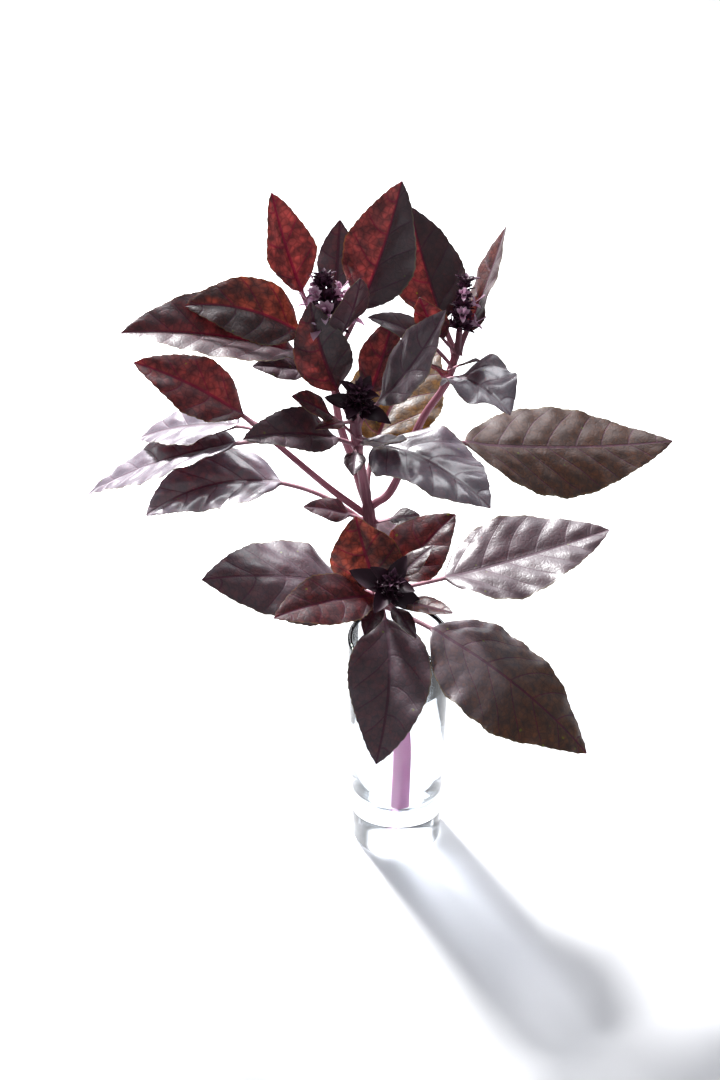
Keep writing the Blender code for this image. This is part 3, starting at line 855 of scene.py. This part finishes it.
class BasilColours(bpy.types.PropertyGroup):
    leaf_dark: colour_of("Leaf Dark", "Dark patches of a leaf's upper side", (0.034, 0.013, 0.02))
    leaf_light: colour_of("Leaf Light", "Light patches of a leaf", (0.066, 0.029, 0.042))
    leaf_under: colour_of("Leaf Under", "Under side of a leaf", (0.125, 0.078, 0.088))
    leaf_olive: colour_of("Leaf Olive", "Green parts of a leaf", (0.062, 0.031, 0.009))
    # Painted sheen: the pale colour painted on the leaves that shine.
    leaf_bloom: colour_of("Leaf Bloom", "Pale bloom of the palest leaves", (0.24, 0.2, 0.26))
    leaf_edge: colour_of("Leaf Edge", "Thin rim of a leaf", (0.2, 0.17, 0.09))
    vein: colour_of("Vein", "Midrib and side veins", (0.055, 0.011, 0.034))
    fleck: colour_of("Fleck", "Small green flecks", (0.14, 0.16, 0.02))
    glow_red: colour_of("Glow Red", "Light that comes through a leaf", (0.62, 0.2, 0.2))
    glow_olive: colour_of("Glow Olive", "Light through the green leaves", (0.55, 0.36, 0.04))
    glow_vein: colour_of("Glow Vein", "Light through the veins", (0.42, 0.03, 0.14))
    glow_fleck: colour_of("Glow Fleck", "Light through the flecks", (0.6, 0.7, 0.03))
    stem_dark: colour_of("Stem Dark", "Dark streaks of the stems", (0.26, 0.09, 0.13))
    stem_light: colour_of("Stem Light", "Light streaks of the stems", (0.5, 0.24, 0.3))
    stem_wet: colour_of("Stem Wet", "Stem in the water", (1, 0.42, 0.84))
    calyx: colour_of("Calyx", "Calyces of the flower heads", (0.035, 0.008, 0.026))
    petal: colour_of("Petal", "Open flowers", (0.86, 0.66, 0.78))


class BasilStage(bpy.types.PropertyGroup):
    key: FloatProperty(name="Key", description="Power of the key light", default=11.0, min=0, unit="POWER")
    key_place: FloatVectorProperty(
        name="Key Place",
        description="Where the key light stands",
        default=(-0.21, 0.345, 0.47),
        subtype="TRANSLATION",
    )
    key_aim: FloatVectorProperty(
        name="Key Aim",
        description="Where the key light points",
        default=(-0.1, 0.3, 0.0),
        subtype="TRANSLATION",
    )
    key_size: FloatProperty(name="Key Size", description="Its diameter", default=0.08, unit="LENGTH")
    sky: FloatProperty(name="Sky", description="Strength of the light from behind", default=0.28, min=0)
    front: FloatProperty(name="Front", description="Strength of the light in front", default=0.2, min=0)
    box: FloatProperty(name="Box", description="Strength of the soft box behind", default=3.4, min=0)
    box_azimuth: FloatProperty(
        name="Box Azimuth", description="Where the soft box stands", default=radians(99), subtype="ANGLE"
    )
    box_height: FloatProperty(
        name="Box Height", description="How high the soft box stands", default=radians(39), subtype="ANGLE"
    )
    box_size: FloatProperty(
        name="Box Size", description="Half the angle that it fills", default=radians(24), subtype="ANGLE"
    )
    lens: FloatProperty(name="Lens", description="Focal length", default=66.667, unit="CAMERA")
    pitch: FloatProperty(name="Pitch", description="Camera's fall", default=radians(38.5), subtype="ANGLE")
    camera: FloatVectorProperty(
        name="Camera",
        description="Where the camera stands",
        default=(-0.0151, -0.5826, 0.6169),
        subtype="TRANSLATION",
    )


# Pieces


def stand_for(piece, node):
    """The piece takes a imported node's place, after a check that it lies where the node does."""
    points = np.array([v.co for v in piece.data.vertices])
    low, high = (np.array(corner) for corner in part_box(node))
    off = max(np.abs(points.min(0) - low).max(), np.abs(points.max(0) - high).max())
    if off > FARTHEST_OFF:
        raise RuntimeError(f"{piece.name} lies {off * 1000:.1f} mm from node {node}")
    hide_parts(node)
    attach(piece, "root")


def turned(name, profile, sides, material):
    """A smooth solid of revolution from (radius, height) points that start and end on the axis."""
    bottom, *rings, top = profile
    turn = 2 * pi * np.arange(sides) / sides
    around = np.stack([np.cos(turn), np.sin(turn)], -1)
    points = [np.column_stack([around * r, np.full(sides, h)]) for r, h in rings]
    count = len(rings) * sides
    points += [[[0, 0, bottom[1]]], [[0, 0, top[1]]]]
    faces = grid_faces(len(rings), sides, closed=True)
    faces += fan_faces(sides, 0, count, count - sides, count + 1)
    body = Body()
    body.add(np.concatenate(points), faces, 0)
    return body.make(name, [material], sharp=35)


def arc(centre, radius, start, end, steps=10):
    turns = [radians(start + (end - start) * i / steps) for i in range(steps + 1)]
    return [(centre[0] + radius * cos(t), centre[1] + radius * sin(t)) for t in turns]


class BASIL_OT_glass(bpy.types.Operator):
    """Make the glass and its water"""

    bl_idname = "basil.glass"
    bl_label = "Glass and Water"

    def execute(self, context):
        s = context.scene.basil_glass
        foot, rim, height, wall = (v / MM for v in (s.foot_radius, s.rim_radius, s.height, s.wall))
        base, corner, bevel, depth = (v / MM for v in (s.base, s.corner, s.bevel, s.water))

        def outer(h):
            return foot + (rim - foot) * h / height

        def well(gap, top):
            centre = (outer(base + corner) - wall - corner, base + corner)
            bowl = arc(centre, corner - gap, -90, 0)
            return [(0, base + gap), (centre[0] * 0.5, base + gap), *bowl, (outer(top) - wall - gap, top)]

        lip = arc((rim - wall / 2, height - wall / 2), wall / 2, 0, 180)
        inside = well(0, height - wall / 2)[:-1]
        outside = [(0, 0), ((foot - bevel) * 0.5, 0), *arc((foot - bevel, bevel), bevel, -90, 0, 5)]
        clear = clear_body("clear_glass", s.glass_colour, 1.5, (0.93, 0.94, 0.96))
        glass = turned("glass_tumbler", [*outside, *lip, *reversed(inside)], s.sides, clear)
        stand_for(glass, "glass")

        level = base + depth
        rise = [(outer(level) - wall + WATER_IN_WALL, level + 0.9), (outer(level) - wall - 0.5, level + 0.35)]
        surface = [*rise, (outer(level) - wall - 1.6, level), (6, level), (0, level)]
        water = clear_body("water", s.water_colour, 1.333, (0.97, 0.97, 0.98))
        made = turned("water_fill", [*well(-WATER_IN_WALL, level)[:-1], *surface], s.sides, water)
        stand_for(made, "water")
        return {"FINISHED"}


class BASIL_OT_stems(bpy.types.Operator):
    """Make the stems"""

    bl_idname = "basil.stems"
    bl_label = "Stems"

    def execute(self, context):
        courses, radii, roots = stem_courses()
        looks, depth = context.scene.basil_colours, context.scene.basil_glass.water / MM
        material = stem_skin("basil_stem", looks, 0)
        main = stem_skin("basil_main_stem", looks, depth)
        nodes = {name: [] for name in courses}
        for piece in (*BRANCHES, *LEAVES):
            stem, at = (piece.parent, piece.at) if isinstance(piece, Stem) else (piece.stem, piece.at)
            nodes[stem].append(index_of(courses[stem], at))
        for name, course in courses.items():
            start, end = radii[name]
            index = np.arange(len(course.points))
            radius = start + (end - start) * index / (len(course.points) - 1)
            for place in nodes[name]:
                radius = radius + 0.16 * radius * np.exp(-(((index - place) * FINE_STEP / 2.2) ** 2))
            radius = np.minimum(radius, 1.35 * (start + (end - start) * index / len(index)))
            points = [np.array(p) for p in course.points]
            if name in roots:
                root, first = np.array(roots[name]), points[0]
                count = ceil(np.linalg.norm(first - root) / FINE_STEP)
                points = [*(root + (first - root) * i / count for i in range(count)), *points]
                radius = np.concatenate([np.linspace(0.75, 1, count, endpoint=False) * radius[0], radius])
            body = Body()
            tube(body, points, radius, square=0.13)
            made = body.make(name + "_skin", [main if name == "main_stem" else material])
            stand_for(made, name)
        return {"FINISHED"}


class BASIL_OT_leaves(bpy.types.Operator):
    """Make every leaf with its petiole"""

    bl_idname = "basil.leaves"
    bl_label = "Leaves"

    def execute(self, context):
        looks = context.scene.basil_colours
        sides = [leaf_side("leaf_upper", looks, True), leaf_side("leaf_under", looks, False)]
        courses, radii, _ = stem_courses()
        for number, leaf in enumerate(LEAVES):
            random = np.random.default_rng(number + 11)
            course = courses[leaf.stem]
            place, along = point_on(course, leaf.at)
            pitch, heading = radians(leaf.rise + leaf.droop / 2), radians(leaf.heading - leaf.sweep / 2)
            leaving = Vector((cos(pitch) * cos(heading), cos(pitch) * sin(heading), sin(pitch)))
            radius = radius_at(course, radii[leaf.stem], leaf.at)
            reach = CLEARANCE + hypot(PETIOLE_WIDTH, PETIOLE_THICKNESS) / 2 * abs(leaving.dot(along))
            start = start_of(place, along, leaving, radius + reach)
            root = (start - start_of(place, along, leaving, radius - ROOTED)).length
            made = leaf_body(leaf, start, root, random).make(leaf.name + "_blade", sides)
            stand_for(made, leaf.name)
        return {"FINISHED"}


def frame_to(direction, up):
    """Rows: side, up and forward, for a piece that points in a direction."""
    forward = np.asarray(direction, float)
    forward = forward / np.linalg.norm(forward)
    side = np.cross(forward, up)
    side /= np.linalg.norm(side)
    return np.array([side, np.cross(side, forward), forward])


def place_in(points, origin, rows):
    return np.asarray(origin) + points @ rows


def petal(body, origin, rows, length, width, curl, cup, slot, random):
    """A small closed sheet along a direction: a bract or a lip of a flower."""
    count, columns = 9, 7
    s = np.linspace(0, 1, count)[:, None]
    k = np.linspace(-1, 1, columns)[None, :]
    half = width / 2 * np.maximum(np.sin(pi * s**0.7) ** 0.8, 0.12 * (1 - s))
    arc = radians(abs(curl))
    z = length * np.sin(arc * s) / arc
    y = np.sign(curl) * length * (1 - np.cos(arc * s)) / arc
    y = y + cup * half * k**2 + 0.04 * width * np.sin(7 * s + random.uniform(0, 6)) * np.abs(k)
    x = half * k
    z = z + 0 * k
    upper = np.stack([x, y + PETAL_THICKNESS / 2, z], -1)
    lower = np.stack([x, y - PETAL_THICKNESS / 2, z], -1)
    skin, faces = sheet(upper, lower)
    patch = np.full(x.shape, random.uniform(0, 50))
    value = np.stack([x / width, np.broadcast_to(s, x.shape), patch], -1)
    value = np.tile(value.reshape(-1, 3), (2, 1))
    body.add(place_in(skin, origin, rows), faces, slot, {"petal_place": value})


def bell(body, origin, rows, length, start, mouth, lobes, slot, random):
    """A small open bell with a lobed mouth: a calyx or the tube of a flower."""
    rings, sides = 7, 20
    s = np.linspace(0, 1, rings)[:, None]
    turn = 2 * pi * np.arange(sides)[None, :] / sides
    radius = start + (mouth - start) * s**1.6
    z = length * s + 0.22 * length * s**3 * np.cos(lobes * turn + random.uniform(0, 6))
    shells = []
    for gap in (0, BELL_WALL):
        r = np.maximum(radius - gap, 0.05) + 0 * turn
        shells.append(np.stack([r * np.cos(turn), r * np.sin(turn), z + gap * (1 - s)], -1))
    outer, inner = shells
    size = rings * sides
    faces = grid_faces(rings, sides, closed=True)
    faces += grid_faces(rings, sides, closed=True, start=size, flip=True)
    last = size - sides
    for c in range(sides):
        d = (c + 1) % sides
        faces.append((last + c, last + d, size + last + d, size + last + c))
    skin = np.concatenate([outer.reshape(-1, 3), inner.reshape(-1, 3), [[0, 0, 0], [0, 0, 0.2]]])
    faces += fan_faces(sides, 0, 2 * size, size, 2 * size + 1)
    value = np.stack([np.cos(turn) + 0 * s, s + 0 * turn, 3.0 + 0 * s * turn], -1).reshape(-1, 3)
    value = np.concatenate([value, value, [[0, 0, 3], [0, 0, 3]]])
    body.add(place_in(skin, origin, rows), faces, slot, {"petal_place": value})


class BASIL_OT_flower_heads(bpy.types.Operator):
    """Make the flower heads with their bracts, calyces and open flowers"""

    bl_idname = "basil.flower_heads"
    bl_label = "Flower Heads"

    def execute(self, context):
        looks = context.scene.basil_colours
        courses, _, _ = stem_courses()
        materials = [
            petal_skin("calyx", (0.11, 0.03, 0.075), looks.calyx, 0.2),
            petal_skin("bract", (0.05, 0.012, 0.03), (0.016, 0.004, 0.012), 0.25, 0.4),
            petal_skin("corolla", looks.petal, (0.6, 0.26, 0.46), 0.5),
            petal_skin("rachis", (0.2, 0.06, 0.11), (0.12, 0.03, 0.06), 0.1),
        ]
        for number, head in enumerate(HEADS):
            random = np.random.default_rng(number + 101)
            course = courses[head.stem]
            place, along = point_on(course, len(course.corners) - 1)
            place, along = np.array(place), np.array(along)
            body = Body()
            self.build(body, head, place, along, random)
            made = body.make(head.name + "_bloom", materials)
            stand_for(made, head.name)
        return {"FINISHED"}

    def build(self, body, head, place, along, random):
        across = frame_to(along, (0, -1, 0))
        steps = np.linspace(0, 1, 12)[:, None]
        core = place + along * head.length * 0.9 * steps
        start = body.count
        tube(body, core, np.linspace(1.1, 0.5, len(core)), slot=3, sides=10)
        count = body.count - start
        body.values.setdefault("petal_place", {})[start] = np.full((count, 3), 0.4)
        del body.values["stem_place"]
        gap = head.length / (head.whorls + 0.6)
        for whorl in range(head.whorls):
            share = whorl / max(1, head.whorls - 1)
            middle = place + along * gap * (whorl + 0.5)
            small = head.size * (1 - 0.45 * share)
            for i in range(WHORL):
                turn = 2 * pi * (i + 0.5 * (whorl % 2)) / WHORL + random.uniform(-0.15, 0.15)
                out = across[0] * cos(turn) + across[1] * sin(turn)
                rise = random.uniform(0.25, 0.5) + 0.5 * share
                direction = out + along * rise
                rows = frame_to(direction, along)
                origin = middle + out * 0.8
                length = 4.6 * small
                skin = 0 if head.flowers else 1
                bell(body, origin, rows, length, 0.7 * small, 1.9 * small, 5, skin, random)
                lid = origin + rows[2] * length * 0.8 + rows[1] * 1.4 * small
                lid_rows = frame_to(rows[2] + 0.9 * rows[1], along)
                petal(body, lid, lid_rows, 2.8 * small, 3.4 * small, 30, -0.2, skin, random)
                if i % 2 == whorl % 2 and i // 2 < head.flowers and share < 0.8:
                    self.flower(body, origin + rows[2] * length * 0.5, rows, small, random)
            for i in range(2):
                turn = pi * (i + 0.5 * (whorl % 2)) + 0.4
                out = across[0] * cos(turn) + across[1] * sin(turn)
                direction = out + along * (0.15 + 0.8 * share)
                rows = frame_to(direction, along)
                size = head.bract * (1 - 0.35 * share)
                petal(body, middle - along * 1.2 + out, rows, size, size * 0.55, -25, 0.35, 1, random)
        top = place + along * (head.length - gap * 0.75)
        for i in range(TOP_BRACTS):
            turn = TOP_TURN * i
            open_out = 0.9 - 0.055 * i
            out = across[0] * cos(turn) + across[1] * sin(turn)
            rows = frame_to(along + out * open_out, along + 0.01 * out)
            size = 5.2 - 0.2 * i
            petal(body, top + out * 0.8 * open_out, rows, size, size * 0.55, -35, 0.5, i % 2, random)

    def flower(self, body, origin, rows, small, random):
        """An open flower: a tube, a four-lobed upper lip, a longer lower lip and stamens."""
        bell(body, origin, rows, 4.5 * small, 0.8, 1.9 * small, 4, 2, random)
        mouth = origin + rows[2] * 4.2 * small
        for turn in (-0.9, -0.3, 0.3, 0.9):
            side = rows[1] * cos(turn) + rows[0] * sin(turn)
            lip = frame_to(rows[2] * 0.7 + side, rows[2])
            petal(body, mouth + side * 1.1, lip, 3.2 * small, 2.6 * small, -40, 0.3, 2, random)
        lip = frame_to(rows[2] - rows[1] * 0.5, rows[1])
        petal(body, mouth - rows[1] * 1.1, lip, 4.4 * small, 3.2 * small, -50, 0.5, 2, random)
        for turn in (-0.3, 0.1, 0.4):
            side = rows[1] * cos(turn) + rows[0] * sin(turn)
            tip = mouth + rows[2] * 4.5 + side * 1.2
            start = body.count
            tube(body, np.linspace(mouth, tip, 4), (0.14, 0.13, 0.12, 0.24), slot=2, sides=6)
            del body.values["stem_place"]
            body.values["petal_place"][start] = np.full((body.count - start, 3), 0.9)


class BASIL_OT_stage(bpy.types.Operator):
    """Make the floor, the lights and the camera"""

    bl_idname = "basil.stage"
    bl_label = "Stage"

    def execute(self, context):
        s = context.scene.basil_stage
        scene = context.scene
        tree = Tree("pale_floor")
        place = tree.add("ShaderNodeTexCoord", {}, {}, "Object")
        shade = tree.noise(place, 3.0)
        colour = tree.mix(shade, (0.72, 0.725, 0.745), (0.76, 0.765, 0.78))
        floor = Body()
        corners = [(FLOOR_HALF * x, FLOOR_HALF * y, 0) for x, y in ((-1, -1), (1, -1), (1, 1), (-1, 1))]
        floor.add(corners, [(0, 1, 2, 3)], 0)
        plane = floor.make("floor", [tree.finish(tree.surface({"Base Color": colour, "Roughness": 0.9}))])
        plane.location.z = -FLOOR_DROP * MM

        tree = Tree("studio", world=True)
        where = tree.add("ShaderNodeTexCoord", {}, {}, "Generated")
        back = tree.towards(where, (-0.3, 0.85, 0.42)).between(-0.5, 0.6)
        flat = (1.0, 1.0, BOX_FLATNESS)
        squashed = tree.add("ShaderNodeVectorMath", {"operation": "MULTIPLY"}, {0: where, 1: flat})
        squashed = tree.add("ShaderNodeVectorMath", {"operation": "NORMALIZE"}, {0: squashed})
        a, e = s.box_azimuth, s.box_height
        aim = Vector((cos(e) * cos(a), cos(e) * sin(a), BOX_FLATNESS * sin(e))).normalized()
        box = tree.towards(squashed, tuple(aim)).between(cos(s.box_size * 1.25), cos(s.box_size * 0.75))
        strength = back * (s.sky - s.front) + s.front + box * s.box
        values = {"Color": (0.94, 0.955, 1.0, 1.0), "Strength": strength}
        scene.world = tree.finish(tree.add("ShaderNodeBackground", {}, values))

        lamp = bpy.data.lights.new("key", "AREA")
        lamp.shape, lamp.size, lamp.energy = "DISK", s.key_size, s.key
        key = bpy.data.objects.new("key", lamp)
        key.location = s.key_place
        key.rotation_euler = (Vector(s.key_place) - Vector(s.key_aim)).to_track_quat("Z", "Y").to_euler()
        key.visible_camera = False
        scene.collection.objects.link(key)

        lens = bpy.data.cameras.new("camera")
        lens.lens, lens.sensor_width, lens.clip_end = s.lens, 36, 50
        lens.dof.use_dof = False
        camera = bpy.data.objects.new("camera", lens)
        camera.location = s.camera
        camera.rotation_euler = Euler((pi / 2 - s.pitch, 0, 0))
        scene.collection.objects.link(camera)
        scene.camera = camera
        scene.view_settings.view_transform = "Standard"
        return {"FINISHED"}


class BASIL_PT_panel(bpy.types.Panel):
    """The sprig's settings and operators"""

    bl_idname = "BASIL_PT_panel"
    bl_label = "Basil Sprig"
    bl_space_type = "VIEW_3D"
    bl_region_type = "UI"
    bl_category = "Basil"

    def draw(self, context):
        for name, _ in SETTINGS:
            box = self.layout.box()
            group = getattr(context.scene, name)
            for key in group.bl_rna.properties.keys():
                if key not in ("rna_type", "name"):
                    box.prop(group, key)
        for operator in OPERATORS:
            self.layout.operator(operator.bl_idname)


SETTINGS = (("basil_glass", BasilGlass), ("basil_colours", BasilColours), ("basil_stage", BasilStage))
OPERATORS = (BASIL_OT_stage, BASIL_OT_glass, BASIL_OT_stems, BASIL_OT_leaves, BASIL_OT_flower_heads)


def register():
    for name, group in SETTINGS:
        bpy.utils.register_class(group)
        setattr(bpy.types.Scene, name, PointerProperty(type=group))
    for item in (*OPERATORS, BASIL_PT_panel):
        bpy.utils.register_class(item)


def unregister():
    for item in (BASIL_PT_panel, *reversed(OPERATORS)):
        bpy.utils.unregister_class(item)
    for name, group in reversed(SETTINGS):
        delattr(bpy.types.Scene, name)
        bpy.utils.unregister_class(group)


def main():
    register()
    bpy.ops.basil.stage()
    bpy.ops.basil.glass()
    bpy.ops.basil.stems()
    bpy.ops.basil.leaves()
    bpy.ops.basil.flower_heads()
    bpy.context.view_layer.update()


if __name__ == "__main__":
    main()
